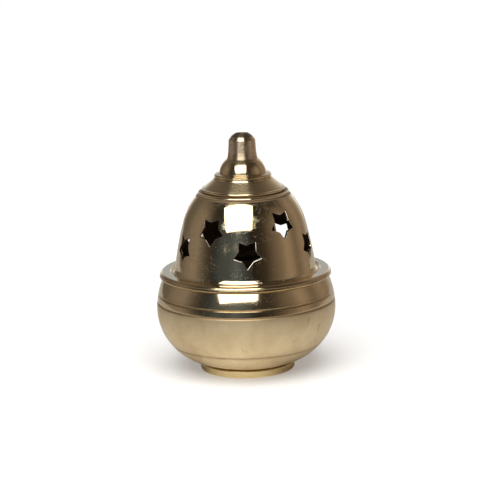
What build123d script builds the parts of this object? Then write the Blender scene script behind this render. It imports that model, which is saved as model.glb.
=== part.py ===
"""A turned brass incense burner: a footed bowl under a pierced domed lid with a vented finial.

Units are millimetres. +Z is up, the origin is the centre of the foot's underside, and -Y is the front.
Every shell is turned about Z. Arcs of a profile are written as centre, radius and the elevation of
their normal, so that neighbouring arcs meet without a kink and a wall is the same arc less its thickness.
"""

import os
from math import cos, radians, sin, sqrt

from build123d import *

# Bowl: two arcs about one equator.
BOWL_R = 38.2  # greatest outer radius
EQUATOR_Z = 27.0
BELLY_ARC = 24.0  # profile radius below the equator
SHOULDER_ARC = 30.7  # profile radius above it
BOWL_WALL = 1.8
RIM_Z = 40.7  # flat top of the bowl's mouth
RIM_ROUND = 0.35
BOWL_LINES = (11.9, 30.1, 33.4)  # heights of the turned lines
BOWL_LINE_DEPTHS = (0.22, 0.40, 0.36)

# Foot ring, brazed under the bowl.
FOOT_R = 20.0
FOOT_TOP_R = 20.4
FOOT_INNER_R = 17.2
FOOT_H = 2.9
NECK_R = 19.0  # undercut between the foot and the bowl
FOOT_ROUND = 0.4
BRAZE_GAP = 0.03

# Flange ring of the lid: a rounded brim, a seat for the dome and a spigot for the bowl's mouth.
BRIM_R = 36.65
BRIM_LIP_R = 36.3
BRIM_TOP_Z = 43.15
BRIM_TOP_R = 35.35
SEAT_R = 31.5
SEAT_Z = 42.5
SEAT_LIP = 0.7
RING_BORE_R = 29.2
SPIGOT_R = 32.6
SPIGOT_WALL = 1.6
SPIGOT_Z = 37.2
BRIM_LINE_Z = 41.85

# Dome of the lid: a cove at its foot, then two arcs, then a cone.
DOME_WALL = 1.1
DOME_FOOT_R = 31.0
DOME_LIP = 0.45
DOME_WALL_R = 29.95  # outer radius where the cove ends
DOME_WALL_Z = 45.0
WALL_ARC, WALL_FROM, WALL_TO = 210.5, 9.0, 14.0  # radius, first and last elevation of the normal
CROWN_ARC, CROWN_TO = 31.4, 41.0
BEAD_R = 0.65
BEADS = ((18.8, 76.4), (17.15, 77.95))  # centres of the two turned beads, radius and height
CONE_TOP_R = 12.4
CONE_TOP_Z = 82.5
DOME_TOP_Z = 83.3
DOME_TOP_R = 11.9
DOME_CEILING_Z = 81.7
DOME_CEILING_R = 11.0

# Finial: brim, bell, nozzle and a threaded stud, bored through for smoke.
VENT_R = 2.5
STUD_R = 4.2
STUD_Z = 77.6
STUD_CLEARANCE = 0.05
FINIAL_BRIM_R = 12.2
FINIAL_BRIM_H = 1.2
BELL_FOOT_R = 9.9
BELL_TOP_R = 6.8
BELL_TOP_Z = 90.6
NOZZLE_FOOT_R = 6.4
NOZZLE_R = 5.7
NOZZLE_FOOT_Z = 91.0
NOZZLE_TOP_Z = 98.9
TIP_R = 2.95
TIP_Z = 101.5

# Nut and washer that hold the finial from inside the dome.
NUT_ACROSS_FLATS = 13.0
NUT_H = 2.6
WASHER_R = 8.2
WASHER_H = 0.5

# Stars cut through the dome, one point down. Azimuth in degrees from the front towards +X, height,
# and tilt in degrees anticlockwise as seen from outside: they are cut by hand, so no two agree.
STAR_R = 6.25
STAR_NOTCH = 0.61  # radius of the inward corners as a share of the points'
LOWER_STARS = ((-66, 54.9, -2), (2, 55.2, 0), (71.5, 55.0, -2), (142.5, 53.2, -4), (231, 54.4, 5))
UPPER_STARS = ((-32.6, 63.9, 5), (39, 65.8, -2), (108, 64.9, 3), (187, 64.2, 6), (262, 65.1, -4))

# Ember cup, which stands in a shallow recess in the bowl's floor, and the grate on its ledge.
RECESS_R = 12.8
RECESS_DEPTH = 0.5
CUP_FOOT_R = 12.4
CUP_FOOT_H = 1.7
CUP_R = 21.4
CUP_H = 20.0
CUP_WALL = 1.2
CUP_RIM_R = 22.1
CUP_RIM_H = 1.4
CUP_BELLY_H = 10.2  # height at which the belly becomes the straight wall
CUP_FLOOR = 3.1
LEDGE_H = 8.7
LEDGE_R = 18.6
AIR_HOLES = 8
AIR_HOLE_R = 1.5
AIR_HOLE_H = 5.6
GRATE_R = 19.9
GRATE_T = 1.0
GRATE_HOLE_R = 1.3
GRATE_PITCH = 5.2
GRATE_RINGS = 3

FAR = 60.0  # longer than any cut needs to be


def arc_from(centre, radius, start, end):
    """The arc about centre from one elevation of its outward normal to another, in degrees."""
    return CenterArc(centre, radius, start, end - start)


def centre_of(point, radius, elevation):
    """The centre of the arc that passes through point where its normal has that elevation."""
    return (point[0] - radius * cos(radians(elevation)), point[1] - radius * sin(radians(elevation)))


def turned(*edges):
    """The solid swept about Z by the closed outline of these edges, drawn as radius and height."""
    return revolve(make_face(Plane.XZ * Wire(edges)), Axis.Z)


def lathe(*points):
    """A turned solid whose outline is straight from point to point."""
    return turned(*Polyline(*points, close=True).edges())


def turned_line(radius, height, depth):
    """The V-shaped ring that a pointed tool cuts into a wall at that radius and height."""
    outer, half_width = radius + depth, 1.3 * depth
    return lathe((radius - depth, height), (outer, height + half_width), (outer, height - half_width))


def disc(radius, low, high):
    return Pos(0, 0, low) * Cylinder(radius, high - low, align=(Align.CENTER, Align.CENTER, Align.MIN))


def shoulder_radius(height, inset=0.0):
    """Radius of the bowl at a height above its equator, inset into its wall."""
    arc = SHOULDER_ARC - inset
    return BOWL_R - SHOULDER_ARC + sqrt(arc**2 - (height - EQUATOR_Z) ** 2)


def belly_radius(height, inset=0.0):
    """Radius of the bowl at a height below its equator, inset into its wall."""
    arc = BELLY_ARC - inset
    return BOWL_R - BELLY_ARC + sqrt(arc**2 - (EQUATOR_Z - height) ** 2)


def bowl_form(inset=0.0):
    """The bowl's outer form, or its hollow where inset is the wall."""
    belly = (BOWL_R - BELLY_ARC, EQUATOR_Z)
    shoulder = (BOWL_R - SHOULDER_ARC, EQUATOR_Z)
    top_r = shoulder_radius(RIM_Z, inset)
    lowest = EQUATOR_Z - BELLY_ARC + inset
    belly_edge = arc_from(belly, BELLY_ARC - inset, -90, 0)
    shoulder_edge = ThreePointArc(
        (BOWL_R - inset, EQUATOR_Z),
        (shoulder_radius((EQUATOR_Z + RIM_Z) / 2, inset), (EQUATOR_Z + RIM_Z) / 2),
        (top_r, RIM_Z),
    )
    return turned(
        Line((0, lowest), (belly[0], lowest)),
        belly_edge,
        shoulder_edge,
        Line((top_r, RIM_Z), (0, RIM_Z)),
        Line((0, RIM_Z), (0, lowest)),
    )


def make_bowl():
    floor_z = EQUATOR_Z - BELLY_ARC + BOWL_WALL
    bowl = bowl_form() - bowl_form(BOWL_WALL) - disc(RECESS_R, floor_z - RECESS_DEPTH, floor_z + 1)
    rim = bowl.faces().sort_by(Axis.Z)[-1]
    bowl = fillet(rim.edges(), RIM_ROUND)
    for height, depth in zip(BOWL_LINES, BOWL_LINE_DEPTHS):
        radius = belly_radius(height) if height < EQUATOR_Z else shoulder_radius(height)
        bowl -= turned_line(radius, height, depth)
    return bowl


def make_foot_ring():
    ring = lathe(
        (FOOT_INNER_R, 0),
        (FOOT_R, 0),
        (FOOT_TOP_R, FOOT_H),
        (NECK_R, FOOT_H + 0.3),
        (NECK_R, FOOT_H + 2),
        (FOOT_INNER_R, FOOT_H + 2),
    )
    circles = ring.edges().filter_by(GeomType.CIRCLE)
    outer = circles.filter_by(lambda edge: edge.radius >= FOOT_R)
    return fillet(outer, FOOT_ROUND) - bowl_form(-BRAZE_GAP)


def make_flange_ring():
    """The lid's brim, with the seat that the dome stands on and the spigot inside the bowl's mouth."""
    brim_mid = ((BRIM_R + BRIM_TOP_R) / 2 + 0.28, (RIM_Z + BRIM_TOP_Z) / 2 + 0.3)
    outline = Polyline(
        (BRIM_TOP_R, BRIM_TOP_Z),
        (SEAT_R + SEAT_LIP, BRIM_TOP_Z),
        (SEAT_R, SEAT_Z),
        (RING_BORE_R, SEAT_Z),
        (RING_BORE_R, RIM_Z + 0.3),
        (SPIGOT_R - SPIGOT_WALL, RIM_Z - 1.2),
        (SPIGOT_R - SPIGOT_WALL, SPIGOT_Z),
        (SPIGOT_R - 0.3, SPIGOT_Z),
        (SPIGOT_R, SPIGOT_Z + 0.6),
        (SPIGOT_R, RIM_Z),
        (BRIM_LIP_R, RIM_Z),
        (BRIM_R, RIM_Z + 0.35),
    )
    brim = ThreePointArc((BRIM_R, RIM_Z + 0.35), brim_mid, (BRIM_TOP_R, BRIM_TOP_Z))
    return turned(*outline.edges(), brim) - turned_line(36.5, BRIM_LINE_Z, 0.16)


def dome_outline(inset=0.0):
    """The dome's wall and crown as two tangent arcs, with their two ends, inset into the wall."""
    wall_start = (DOME_WALL_R, DOME_WALL_Z)
    wall_centre = centre_of(wall_start, WALL_ARC, WALL_FROM)
    wall_arc = arc_from(wall_centre, WALL_ARC - inset, WALL_FROM, WALL_TO)
    joint = (
        wall_centre[0] + WALL_ARC * cos(radians(WALL_TO)),
        wall_centre[1] + WALL_ARC * sin(radians(WALL_TO)),
    )
    crown_arc = arc_from(centre_of(joint, CROWN_ARC, WALL_TO), CROWN_ARC - inset, WALL_TO, CROWN_TO)
    low, high = wall_arc @ 0, crown_arc @ 1
    return wall_arc, crown_arc, (low.X, low.Y), (high.X, high.Y)


def star_cutter(azimuth, height, tilt):
    """A star-shaped bar through the dome's wall along the radius at that azimuth."""
    a = radians(azimuth)
    outward = Plane(origin=(0, 0, height), x_dir=(cos(a), sin(a), 0), z_dir=(sin(a), -cos(a), 0))
    corners = []
    for k in range(10):
        reach = STAR_R * (1 if k % 2 == 0 else STAR_NOTCH)
        turn = radians(-90 + tilt + 36 * k)
        corners.append((reach * cos(turn), reach * sin(turn)))
    star = make_face(Polyline(*corners, close=True))
    return extrude(outward.offset(DOME_CEILING_R) * star, FAR)


def make_dome():
    wall, crown, low, high = dome_outline()
    inner_wall, inner_crown, inner_low, inner_high = dome_outline(DOME_WALL)
    lip = (DOME_FOOT_R, SEAT_Z + DOME_LIP)
    cove = ThreePointArc(lip, ((lip[0] + low[0]) / 2 - 0.17, (lip[1] + low[1]) / 2 - 0.12), low)
    outside = turned(
        *Polyline((0, SEAT_Z), (DOME_FOOT_R, SEAT_Z), lip).edges(),
        cove,
        wall,
        crown,
        *Polyline(high, (CONE_TOP_R, CONE_TOP_Z), (DOME_TOP_R + 0.25, DOME_TOP_Z - 0.25)).edges(),
        *Polyline((DOME_TOP_R + 0.25, DOME_TOP_Z - 0.25), (DOME_TOP_R, DOME_TOP_Z), (0, DOME_TOP_Z)).edges(),
        Line((0, DOME_TOP_Z), (0, SEAT_Z)),
    )
    hollow = turned(
        *Polyline((0, SEAT_Z - 1), (inner_low[0], SEAT_Z - 1), inner_low).edges(),
        inner_wall,
        inner_crown,
        *Polyline(inner_high, (DOME_CEILING_R, DOME_CEILING_Z), (0, DOME_CEILING_Z)).edges(),
        Line((0, DOME_CEILING_Z), (0, SEAT_Z - 1)),
    )
    beads = [Pos(0, 0, height) * Torus(radius, BEAD_R) for radius, height in BEADS]
    dome = outside + beads - hollow - disc(STUD_R + STUD_CLEARANCE, DOME_CEILING_Z - 1, DOME_TOP_Z + 1)
    for star in (*LOWER_STARS, *UPPER_STARS):
        dome -= star_cutter(*star)
    return dome


def make_finial():
    brim_z = DOME_TOP_Z + FINIAL_BRIM_H
    bell = ThreePointArc((BELL_FOOT_R, brim_z + 0.55), (9.05, 87.85), (BELL_TOP_R, BELL_TOP_Z))
    flare = ThreePointArc((NOZZLE_FOOT_R, NOZZLE_FOOT_Z), (5.93, 92.9), (NOZZLE_R + 0.03, 95.4))
    cap = ThreePointArc((NOZZLE_R, NOZZLE_TOP_Z), (4.65, 100.45), (TIP_R, TIP_Z))
    below = Polyline(
        (VENT_R, TIP_Z - 0.4),
        (VENT_R, STUD_Z),
        (STUD_R - 0.4, STUD_Z),
        (STUD_R, STUD_Z + 0.4),
        (STUD_R, DOME_TOP_Z),
        (FINIAL_BRIM_R - 0.4, DOME_TOP_Z),
        (FINIAL_BRIM_R, DOME_TOP_Z + 0.4),
        (FINIAL_BRIM_R, brim_z - 0.45),
        (FINIAL_BRIM_R - 0.5, brim_z),
        (BELL_FOOT_R + 0.3, brim_z + 0.2),
        (BELL_FOOT_R, brim_z + 0.55),
    )
    return turned(
        *below.edges(),
        bell,
        Line((BELL_TOP_R, BELL_TOP_Z), (NOZZLE_FOOT_R, NOZZLE_FOOT_Z)),
        flare,
        Line((NOZZLE_R + 0.03, 95.4), (NOZZLE_R, NOZZLE_TOP_Z)),
        cap,
        Line((TIP_R, TIP_Z), (VENT_R, TIP_Z - 0.4)),
    )


def make_washer():
    low = DOME_CEILING_Z - WASHER_H
    return disc(WASHER_R, low, DOME_CEILING_Z) - disc(STUD_R, low - 1, DOME_CEILING_Z + 1)


def make_nut():
    """A hexagon nut, its corners turned off at top and bottom."""
    high = DOME_CEILING_Z - WASHER_H
    low = high - NUT_H
    corner_r = NUT_ACROSS_FLATS / sqrt(3)
    hexagon = Pos(0, 0, low) * extrude(RegularPolygon(corner_r, 6), NUT_H)
    blank = lathe(
        (0, low),
        (corner_r - 0.9, low),
        (corner_r, low + 0.5),
        (corner_r, high - 0.5),
        (corner_r - 0.9, high),
        (0, high),
    )
    return (hexagon & blank) - disc(STUD_R, low - 1, high + 1)


def cup_z(height):
    """Height above the cup's own foot as a height of the burner."""
    return EQUATOR_Z - BELLY_ARC + BOWL_WALL - RECESS_DEPTH + height


def make_ember_cup():
    inner_r = CUP_R - CUP_WALL
    outside = Polyline((0, cup_z(0)), (CUP_FOOT_R, cup_z(0)), (CUP_FOOT_R, cup_z(CUP_FOOT_H)))
    belly = ThreePointArc(
        (CUP_FOOT_R, cup_z(CUP_FOOT_H)), (18.8, cup_z(4.6)), (CUP_R, cup_z(CUP_BELLY_H))
    )
    rim = Polyline(
        (CUP_R, cup_z(CUP_BELLY_H)),
        (CUP_R, cup_z(CUP_H - CUP_RIM_H)),
        (CUP_RIM_R, cup_z(CUP_H - CUP_RIM_H + 0.3)),
        (CUP_RIM_R, cup_z(CUP_H - 0.4)),
        (CUP_RIM_R - 0.4, cup_z(CUP_H)),
        (inner_r + 0.3, cup_z(CUP_H)),
        (inner_r, cup_z(CUP_H - 0.3)),
        (inner_r, cup_z(LEDGE_H)),
        (LEDGE_R, cup_z(LEDGE_H)),
    )
    inside = ThreePointArc((LEDGE_R, cup_z(LEDGE_H)), (16.6, cup_z(5.4)), (11.6, cup_z(CUP_FLOOR)))
    floor = Polyline((11.6, cup_z(CUP_FLOOR)), (0, cup_z(CUP_FLOOR)), (0, cup_z(0)))
    cup = turned(*outside.edges(), belly, *rim.edges(), inside, *floor.edges())
    for k in range(AIR_HOLES):
        turn = 360 / AIR_HOLES * (k + 0.5)
        bar = Pos(0, 0, cup_z(AIR_HOLE_H)) * Rot(0, 90, 0) * Cylinder(
            AIR_HOLE_R, FAR, align=(Align.CENTER, Align.CENTER, Align.MIN)
        )
        cup -= Rot(0, 0, turn) * bar
    return cup


def make_ember_grate():
    low = cup_z(LEDGE_H)
    grate = disc(GRATE_R, low, low + GRATE_T)
    for ring in range(GRATE_RINGS + 1):
        count = max(1, 6 * ring)
        for k in range(count):
            hole = Pos(GRATE_PITCH * ring, 0, 0) * disc(GRATE_HOLE_R, low - 1, low + GRATE_T + 1)
            grate -= Rot(0, 0, 360 / count * k) * hole
    return grate


PARTS = {
    "foot_ring": make_foot_ring,
    "bowl": make_bowl,
    "lid_flange_ring": make_flange_ring,
    "lid_dome": make_dome,
    "finial": make_finial,
    "finial_washer": make_washer,
    "finial_nut": make_nut,
    "ember_cup": make_ember_cup,
    "ember_grate": make_ember_grate,
}

os.makedirs("parts", exist_ok=True)
for name, make in PARTS.items():
    export_step(make(), f"parts/{name}.step")
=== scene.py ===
"""Looks for the turned brass incense burner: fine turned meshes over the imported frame, with procedural brass.

Profiles are written in millimetres as radius and height, counterclockwise round the metal, and become
metres when a mesh is made. Materials, lights and the camera are in metres. -Y is the front, and an azimuth
is in degrees from the front towards +X.
"""

import random
from math import asin, atan2, ceil, cos, degrees, exp, floor, hypot, pi, radians, sin, sqrt, tan, tau

import bpy
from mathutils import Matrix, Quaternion, Vector
from mathutils.geometry import delaunay_2d_cdt


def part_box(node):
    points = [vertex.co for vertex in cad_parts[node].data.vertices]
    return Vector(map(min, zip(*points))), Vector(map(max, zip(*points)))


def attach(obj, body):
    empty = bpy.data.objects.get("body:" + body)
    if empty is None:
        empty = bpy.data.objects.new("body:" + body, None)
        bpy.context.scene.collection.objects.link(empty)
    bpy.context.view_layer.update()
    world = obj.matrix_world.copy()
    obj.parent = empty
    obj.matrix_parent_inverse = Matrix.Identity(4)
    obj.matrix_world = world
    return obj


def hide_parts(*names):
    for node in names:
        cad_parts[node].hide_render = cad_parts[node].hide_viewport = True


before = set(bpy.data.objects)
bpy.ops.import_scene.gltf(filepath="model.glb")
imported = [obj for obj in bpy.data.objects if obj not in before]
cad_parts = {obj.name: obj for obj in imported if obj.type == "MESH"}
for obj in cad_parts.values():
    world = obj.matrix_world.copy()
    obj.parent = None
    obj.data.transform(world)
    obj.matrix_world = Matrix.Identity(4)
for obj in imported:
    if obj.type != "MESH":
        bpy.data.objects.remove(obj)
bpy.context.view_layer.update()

MM = 0.001
TURNS = 240  # facets round a turned piece
FINIAL_TURNS = 160

# ---------------------------------------------------------------- profiles
GROOVE_CLEAR = 0.25  # arc points keep this far from a groove's lips
GROOVE_LIP_ROUND, GROOVE_FLOOR_ROUND = 0.16, 0.07
CORNER_STEP = 12  # degrees between the points of a rounded corner
CORNER_SHARE = 0.46  # a rounding takes at most this share of the shorter side
FULL_TURN = 1.6  # a corner that turns this far, in radians, counts as fully sharp
CREASE_SHADE_REACH, RUB_REACH = 0.45, 0.22  # how fast the painted crease shade and the edge wear fade away from a corner
SPREAD_LIMIT = 2.0  # and where they end


def arc(centre_r, centre_z, radius, start, end, step=2.5, hollow=False):
    """Points with their normals along an arc, given in degrees. A hollow arc is seen from its centre."""
    count = max(3, int(abs(end - start) / step))
    side = -1 if hollow else 1
    out = []
    for i in range(count + 1):
        a = radians(start + (end - start) * i / count)
        out.append((centre_r + radius * cos(a), centre_z + radius * sin(a), side * cos(a), side * sin(a)))
    return out


def arc_through(p, q, r, count):
    """Points with their normals along the arc from p through q to r, the metal on its left."""
    (ax, ay), (bx, by), (cx, cy) = p, q, r
    # four times the triangle's area, below 0 where the arc runs clockwise
    area = 2 * (ax * (by - cy) + bx * (cy - ay) + cx * (ay - by))
    a2, b2, c2 = ax * ax + ay * ay, bx * bx + by * by, cx * cx + cy * cy
    x = (a2 * (by - cy) + b2 * (cy - ay) + c2 * (ay - by)) / area
    y = (a2 * (cx - bx) + b2 * (ax - cx) + c2 * (bx - ax)) / area
    radius = hypot(ax - x, ay - y)
    start, end = atan2(ay - y, ax - x), atan2(cy - y, cx - x)
    side = 1 if area > 0 else -1
    sweep = side * (side * (end - start) % tau)
    out = []
    for i in range(count + 1):
        a = start + sweep * i / count
        out.append((x + radius * cos(a), y + radius * sin(a), side * cos(a), side * sin(a)))
    return out


def corner(r, z, rounding=0.0):
    """A corner of a profile, which outline rounds. Three numbers tell it from a point of an arc."""
    return (r, z, rounding)


def groove(nodes, height, half_width, depth):
    """Cuts a V with softened lips into a run of arc points that rises past that height."""
    nearest = min(range(len(nodes)), key=lambda k: abs(nodes[k][1] - height))
    a, b = nodes[nearest - 1], nodes[nearest + 1]
    share = (height - a[1]) / (b[1] - a[1])
    r, nr, nz = (a[k] + (b[k] - a[k]) * share for k in (0, 2, 3))
    clear = half_width * abs(nr) + GROOVE_CLEAR
    return [
        *(n for n in nodes if n[1] < height - clear),
        corner(r + nz * half_width, height - nr * half_width, GROOVE_LIP_ROUND),
        corner(r - nr * depth, height - nz * depth, GROOVE_FLOOR_ROUND),
        corner(r - nz * half_width, height + nr * half_width, GROOVE_LIP_ROUND),
        *(n for n in nodes if n[1] > height + clear),
    ]


def rounded(a, p, b):
    """The points of the rounded corner p, between its neighbours a and b."""
    r, z, rounding = p
    before = Vector((r - a[0], z - a[1]))
    after = Vector((b[0] - r, b[1] - z))
    shorter = min(before.length, after.length)
    before.normalize()
    after.normalize()
    turn = atan2(before.x * after.y - before.y * after.x, before.dot(after))
    slope = abs(tan(turn / 2))
    tangent = min(rounding * slope, CORNER_SHARE * shorter)
    radius = tangent / max(slope, 1e-6)
    side = 1 if turn > 0 else -1
    normal = Vector((before.y, -before.x))
    centre = Vector((r, z)) - before * tangent - normal * radius * side
    sharp = min(abs(turn), FULL_TURN) / FULL_TURN
    # a concave corner gets painted shade, a convex one edge wear
    cavity, edge = (0.0, sharp) if side > 0 else (sharp, 0.0)
    steps = max(2, int(abs(degrees(turn)) / CORNER_STEP) + 1)
    out = []
    for k in range(steps + 1):
        t = turn * k / steps
        nr = normal.x * cos(t) - normal.y * sin(t)
        nz = normal.x * sin(t) + normal.y * cos(t)
        out.append((centre.x + nr * radius * side, centre.y + nz * radius * side, nr, nz, cavity, edge))
    return out


def outline(nodes, closed=True):
    """Rounds the corners of a run of nodes, as points of (r, z, normal r, normal z, cavity, edge)."""
    points = []
    for i, p in enumerate(nodes):
        if len(p) == 4:
            points.append((*p, 0.0, 0.0))
        elif p[0] == 0:
            points.append((0, p[1], 0.0, 1.0 if i else -1.0, 0.0, 0.0))
        elif not closed and i in (0, len(nodes) - 1):
            a, b = (p, nodes[1]) if i == 0 else (nodes[-2], p)
            along = Vector((b[0] - a[0], b[1] - a[1])).normalized()
            points.append((p[0], p[1], along.y, -along.x, 0.0, 0.0))
        else:
            points.extend(rounded(nodes[i - 1], p, nodes[(i + 1) % len(nodes)]))
    return spread(points)


def spread(points):
    """Lets each rounded corner darken the metal with painted shade, or brighten it with wear, for a short way
    on both sides of it.
    """
    out = []
    for r, z, nr, nz, _, _ in points:
        cavity = edge = 0.0
        for q in points:
            d = hypot(r - q[0], z - q[1])
            if d < SPREAD_LIMIT:
                cavity = max(cavity, q[4] * exp(-d / CREASE_SHADE_REACH))
                edge = max(edge, q[5] * exp(-d / RUB_REACH))
        out.append((r, z, nr, nz, cavity, edge))
    return out


# ---------------------------------------------------------------- meshes
FINISHES = {}  # for each mesh, which of its materials each face has


def add_object(name, data):
    ob = bpy.data.objects.new(name, data)
    bpy.context.scene.collection.objects.link(ob)
    return ob


def mesh_object(name, verts, faces, normals, cavity, edge, finishes):
    mesh = bpy.data.meshes.new(name)
    mesh.from_pydata([Vector(v) * MM for v in verts], [], faces)
    mesh.validate(verbose=False)
    for tag, values in (("cavity", cavity), ("edge", edge)):
        mesh.attributes.new(tag, "FLOAT", "POINT").data.foreach_set("value", values)
    mesh.polygons.foreach_set("use_smooth", [True] * len(mesh.polygons))
    mesh.normals_split_custom_set_from_vertices(normals)
    FINISHES[name] = finishes
    return add_object(name, mesh)


def lathe(name, points, turns=TURNS, closed=True, finish=lambda point: 0):
    """Turns a profile about Z. Points on the axis become one vertex."""
    verts, normals, cavity, edge, rings = [], [], [], [], []
    for r, z, nr, nz, crease_shade, rub in points:
        count = turns if r else 1
        rings.append(range(len(verts), len(verts) + count))
        for k in range(count):
            a = tau * k / turns
            verts.append((r * cos(a), r * sin(a), z))
            normals.append((nr * cos(a), nr * sin(a), nz))
        cavity += [crease_shade] * count
        edge += [rub] * count
    faces, finishes = [], []
    pairs = list(zip(rings, rings[1:]))
    if closed:
        pairs.append((rings[-1], rings[0]))
    for point, (a, b) in zip(points, pairs):
        for k in range(turns):
            after = (k + 1) % turns
            if len(a) == 1:
                faces.append((a[0], b[after], b[k]))
            elif len(b) == 1:
                faces.append((a[k], a[after], b[0]))
            else:
                faces.append((a[k], a[after], b[after], b[k]))
        finishes += [finish(point)] * turns
    return mesh_object(name, verts, faces, normals, cavity, edge, finishes)


# ---------------------------------------------------------------- bowl and foot ring
bowl_low, bowl_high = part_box("bowl")
BOWL_R = bowl_high.x / MM
BOWL_LOW, RIM_Z = bowl_low.z / MM, bowl_high.z / MM
BELLY_ARC = 24.0  # profile radius below the equator
SHOULDER_ARC = 30.7  # profile radius above it
BELLY_R, SHOULDER_R = BOWL_R - BELLY_ARC, BOWL_R - SHOULDER_ARC  # where those arcs have their centres
EQUATOR_Z = BOWL_LOW + BELLY_ARC
BOWL_WALL = 1.8
BOWL_FLOOR_Z = BOWL_LOW + BOWL_WALL
RIM_ROUND = 0.35
RECESS_R, RECESS_Z = 12.8, BOWL_FLOOR_Z - 0.5  # where the ember cup stands
SATIN_TOP = 30.1  # the bowl is satin below this groove and polished above it
BOWL_GROOVES = ((11.9, 0.26, 0.2), (SATIN_TOP, 0.45, 0.4), (33.4, 0.42, 0.36))  # height, half width, depth

FOOT_INNER_R, FOOT_R, FOOT_TOP_R, FOOT_H = 17.2, 20.0, 20.4, 2.9
NECK_R = 19.0  # undercut between the foot and the bowl


def shoulder_end(inset):
    """The elevation of the shoulder's normal at the rim, and the radius there, inset into the wall."""
    rise = asin((RIM_Z - EQUATOR_Z) / (SHOULDER_ARC - inset))
    return degrees(rise), SHOULDER_R + (SHOULDER_ARC - inset) * cos(rise)


def bowl_points():
    top_out, rim_out = shoulder_end(0)
    top_in, rim_in = shoulder_end(BOWL_WALL)
    outer = arc(BELLY_R, EQUATOR_Z, BELLY_ARC, -90, 0)
    outer += arc(SHOULDER_R, EQUATOR_Z, SHOULDER_ARC, 0, top_out)[1:-1]
    for height, half_width, depth in BOWL_GROOVES:
        outer = groove(outer, height, half_width, depth)
    inner = arc(SHOULDER_R, EQUATOR_Z, SHOULDER_ARC - BOWL_WALL, top_in, 0, hollow=True)[1:]
    inner += arc(BELLY_R, EQUATOR_Z, BELLY_ARC - BOWL_WALL, 0, -90, hollow=True)[1:]
    rim = [corner(rim_out, RIM_Z, RIM_ROUND), corner(rim_in, RIM_Z, RIM_ROUND)]
    recess = [corner(RECESS_R, BOWL_FLOOR_Z, 0.15), corner(RECESS_R, RECESS_Z, 0.1), corner(0, RECESS_Z)]
    return outline([corner(0, BOWL_LOW), *outer, *rim, *inner, *recess])


def bowl_finish(point):
    """0 for the polished shoulder, 1 for the inside, 2 for the satin underside."""
    _, z, nr, nz = point[:4]
    if nr < -0.05 or z < BOWL_FLOOR_Z + 0.05 and nz > 0:
        return 1
    return 2 if z < SATIN_TOP else 0


def foot_points():
    return outline([
        corner(FOOT_INNER_R, 0, 0.3),
        corner(FOOT_R, 0, 0.45),
        corner(FOOT_TOP_R, FOOT_H, 0.4),
        corner(NECK_R, FOOT_H + 0.3, 0.3),
        # the rest lies just inside the bowl's metal, so that no gap shows
        corner(NECK_R, 4.0, 0.5),
        corner(20.2, 3.95, 0.05),
        corner(19.9, 3.74, 0.03),
        corner(FOOT_INNER_R, 3.26, 0.05),
    ])


bowl = lathe("bowl_turned", bowl_points(), closed=False, finish=bowl_finish)
foot = lathe("foot_ring_turned", foot_points())

# ---------------------------------------------------------------- lid's flange ring
BRIM_R, BRIM_LIP_R, BRIM_Z = 36.65, 36.3, 40.7
BRIM_TOP_R, BRIM_TOP_Z = 35.35, 43.15
BRIM_GROOVE = (41.95, 0.17, 0.15)  # height, half width, depth
SEAT_R, SEAT_LIP, SEAT_Z = 31.5, 0.7, 42.5
RING_BORE_R = 29.2
SPIGOT_R, SPIGOT_INNER_R, SPIGOT_Z = 32.6, 31.0, 37.2


def flange_points():
    low, high = (BRIM_R, BRIM_Z + 0.35), (BRIM_TOP_R, BRIM_TOP_Z)
    bulge = ((BRIM_R + BRIM_TOP_R) / 2 + 0.28, (BRIM_Z + BRIM_TOP_Z) / 2 + 0.3)
    return outline([
        corner(SPIGOT_R - 0.3, SPIGOT_Z, 0.1),
        corner(SPIGOT_R, SPIGOT_Z + 0.6, 0.1),
        corner(SPIGOT_R, BRIM_Z, 0.1),
        corner(BRIM_LIP_R, BRIM_Z, 0.14),
        corner(*low, 0.16),
        *groove(arc_through(low, bulge, high, 16)[1:-1], *BRIM_GROOVE),
        corner(*high, 0.35),
        corner(SEAT_R + SEAT_LIP, BRIM_TOP_Z, 0.2),
        corner(SEAT_R, SEAT_Z, 0.12),
        corner(RING_BORE_R, SEAT_Z, 0.1),
        corner(RING_BORE_R, BRIM_Z + 0.3, 0.2),
        corner(SPIGOT_INNER_R, BRIM_Z - 1.2, 0.3),
        corner(SPIGOT_INNER_R, SPIGOT_Z, 0.1),
    ])


def flange_finish(point):
    """0 for the polished brim and seat, 1 for the smoked spigot and bore."""
    return 1 if point[0] < SPIGOT_R + 0.4 and point[1] < SEAT_Z - 0.1 else 0


flange = lathe("lid_flange_ring_turned", flange_points(), finish=flange_finish)

# ---------------------------------------------------------------- dome
dome_low, dome_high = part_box("lid_dome")
DOME_LOW, DOME_TOP_Z = dome_low.z / MM, dome_high.z / MM
DOME_WALL = 1.1
DOME_MOUTH_R = 28.6  # where the outer skin starts, a little inside the wall so that no gap shows
DOME_FOOT_R, DOME_LIP = 31.0, 0.45
DOME_WALL_R, DOME_WALL_Z = 29.95, 45.0  # where the cove ends and the wall starts
WALL_ARC, WALL_FROM, WALL_TO = 210.5, 9.0, 14.0  # radius, first and last elevation of the normal
CROWN_ARC, CROWN_TO = 31.4, 41.0
BEAD_R = 0.65
BEADS = ((18.8, 76.4), (17.15, 77.95))  # radius and height of their centres
BEAD_ARCS = ((-52, 95, 9), (-70, 85, 11))  # first and last elevation, and the step between points
CONE_FROM = 78.5  # the cone above the beads is left as turned
CREASE_Z = 75.35  # where the skin ends in the groove under the lower bead
BEAD_GROOVE, CONE_FOOT = (17.4, 76.9), (16.9, 78.64)
PAINTED_GROOVE_SHADE = ((75.45, 76.0, 20.0), (76.85, 77.62, 18.3))  # grooves given the dark smoked finish as painted shade: lowest and highest point, largest radius
CONE_LINES = [(16.05 - 0.9 * i, 79.36 + 0.77 * i) for i in range(4)]  # faint turned lines on the cone
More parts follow.
